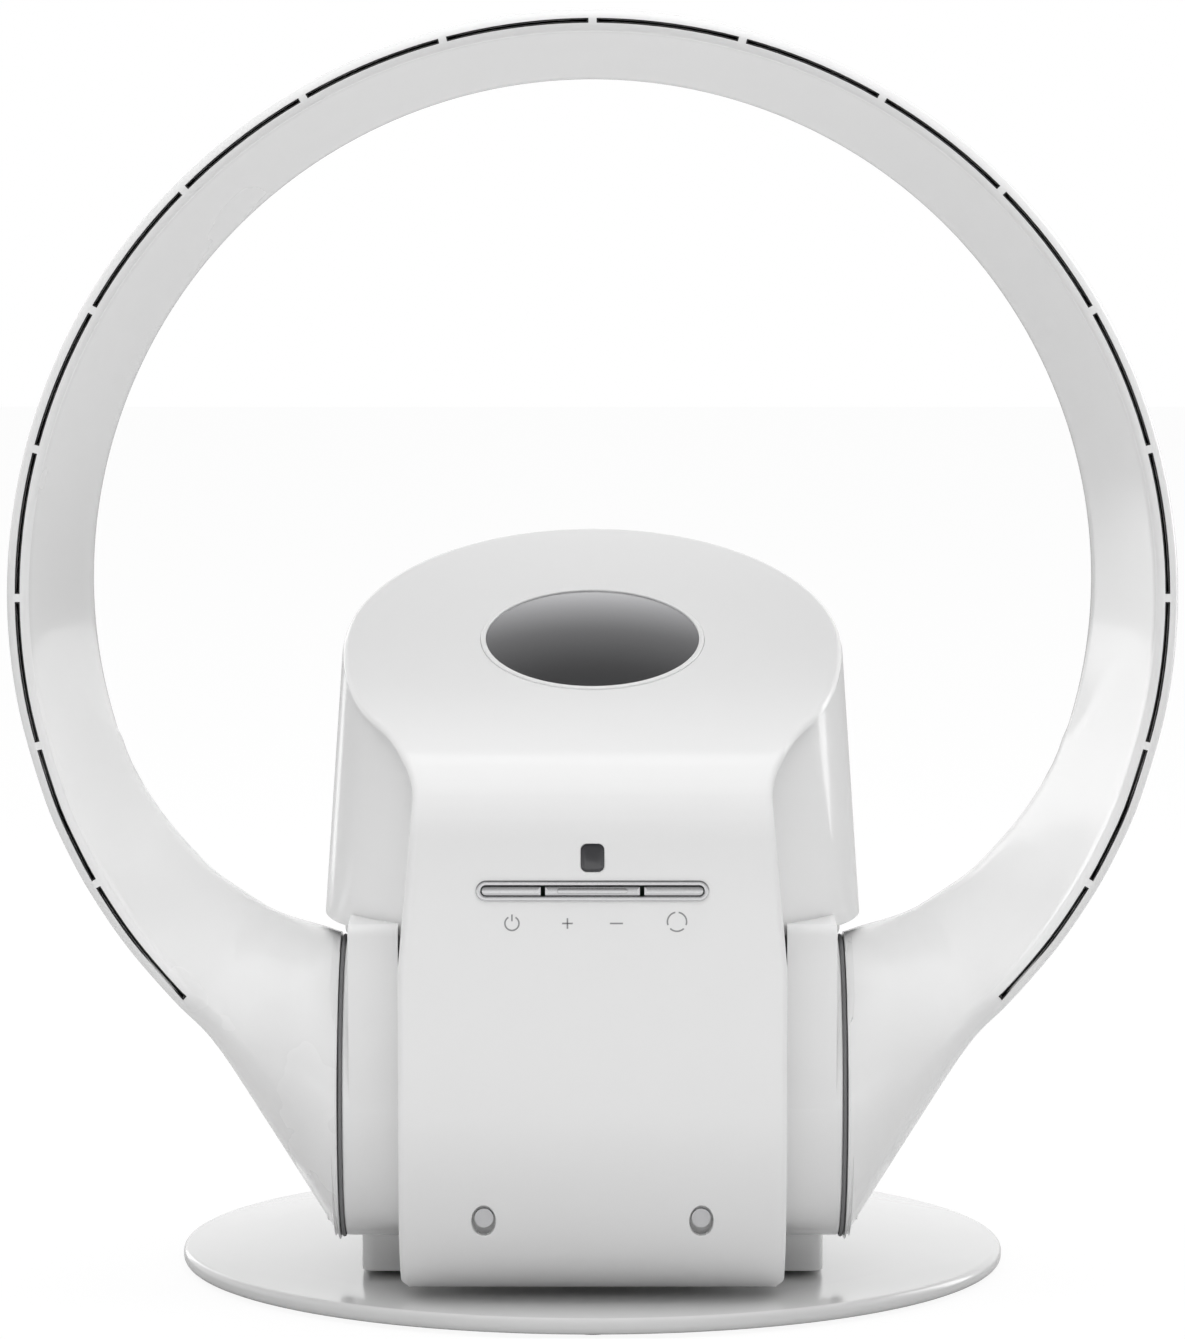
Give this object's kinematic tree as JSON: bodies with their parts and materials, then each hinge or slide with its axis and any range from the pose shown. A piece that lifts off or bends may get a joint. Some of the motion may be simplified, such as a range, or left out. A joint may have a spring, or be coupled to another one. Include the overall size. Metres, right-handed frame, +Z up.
{
  "type": "bladeless fan",
  "caption": "White bladeless table fan: hollow air ring with a rim slot tilting on a barrel, blower pod with sloped top, curved control cover and a swivelling round base.",
  "frame": {"origin": "centre of the round base on the table top, under the rubber feet", "axes": "+Z up, -Y towards the front (the controls and the air), +X to the viewer's right"},
  "size_m": [0.42, 0.31, 0.4725],
  "materials": {
    "white_gloss": "glossy white moulding",
    "black_plastic": "fine matte black moulding",
    "black_lens": "dark infrared-clear lens",
    "chrome_badge": "mirror chrome, domed",
    "silver_trim": "satin silver",
    "grey_seal": "soft dark grey sealing ring",
    "foot_rubber": "matte black rubber",
    "steel": "turned or stamped steel",
    "steel_weight": "dark painted steel disc",
    "nylon": "natural nylon",
    "inner_plastic": "grey inner moulding",
    "foam": "open-cell filter foam",
    "board": "green circuit board with its parts",
    "switch_black": "black switch bodies",
    "motor_metal": "die-cast motor can",
    "copper": "enamelled copper windings"
  },
  "bodies": {
    "base": {"base_plate": "white_gloss", "base_weight": "steel_weight", "base_bottom_cover": "white_gloss", "base_screws": "steel", "rubber_feet": "foot_rubber", "swivel_axle": "steel", "thrust_washer": "nylon", "swing_gear": "nylon", "swivel_nut": "steel"},
    "head": {"pedestal": "white_gloss", "power_inlet": "black_plastic", "swing_motor": "motor_metal", "swing_motor_screws": "steel", "rear_column": "white_gloss", "driver_board": "board", "barrel_housing": "white_gloss", "tilt_bush_left": "nylon", "tilt_bush_right": "nylon", "tilt_seal_left": "grey_seal", "tilt_seal_right": "grey_seal", "pod_floor": "white_gloss", "pod_shell": "white_gloss", "pod_screws": "steel", "intake_grille": "white_gloss", "intake_filter": "foam", "impeller_duct": "inner_plastic", "motor_bucket": "inner_plastic", "motor_mount": "foot_rubber", "motor_can": "motor_metal", "motor_windings": "copper", "motor_bearings": "steel", "front_cover": "white_gloss", "cover_screws": "steel", "badge_rim": "white_gloss", "badge_disc": "chrome_badge", "button_bezel": "silver_trim", "rocker_pin": "steel", "ir_window": "black_lens", "control_board": "board", "tact_switches": "switch_black", "ir_receiver": "switch_black", "board_screws": "steel"},
    "pinion": {"swing_pinion": "nylon"},
    "ring": {"ring_front_shell": "white_gloss", "ring_rear_shell": "white_gloss", "nozzle_liner": "black_plastic", "tilt_hub_left": "white_gloss", "tilt_hub_right": "white_gloss", "hub_retainers": "steel"},
    "impeller": {"impeller": "inner_plastic", "motor_shaft": "steel"},
    "power_button": {"power_button": "silver_trim"},
    "swing_button": {"swing_button": "silver_trim"},
    "speed_rocker": {"speed_rocker": "silver_trim"}
  },
  "joints": [
    {"name": "base_swivel", "type": "hinge", "parent": "base", "child": "head", "pos_m": [0, 0, 0.012], "axis": [0, 0, 1], "range_deg": [-45, 45]},
    {"name": "swing_pinion_spin", "type": "hinge", "parent": "head", "child": "pinion", "pos_m": [-0.04184, 0.00366, 0.017], "axis": [0, 0, 1], "range_deg": [-115, 115]},
    {"name": "ring_tilt", "type": "hinge", "parent": "head", "child": "ring", "pos_m": [0, -0.072, 0.0785], "axis": [1, 0, 0], "range_deg": [-90, 15]},
    {"name": "impeller_spin", "type": "hinge", "parent": "head", "child": "impeller", "pos_m": [0, -0.072, 0.17], "axis": [0, 0, 1], "continuous": true},
    {"name": "power_press", "type": "slide", "parent": "head", "child": "power_button", "axis": [0, 1, 0], "range_m": [0, 0.001], "stiffness_N_per_m": 900},
    {"name": "swing_press", "type": "slide", "parent": "head", "child": "swing_button", "axis": [0, 1, 0], "range_m": [0, 0.001], "stiffness_N_per_m": 900},
    {"name": "speed_rock", "type": "hinge", "parent": "head", "child": "speed_rocker", "pos_m": [0, -0.1464, 0.1607], "axis": [0, 0, 1], "range_deg": [-3, 3], "stiffness_Nm_per_rad": 0.4}
  ],
  "couplings": [
    {"joint": "swing_pinion_spin", "follows": "base_swivel", "ratio": 2.5}
  ]
}
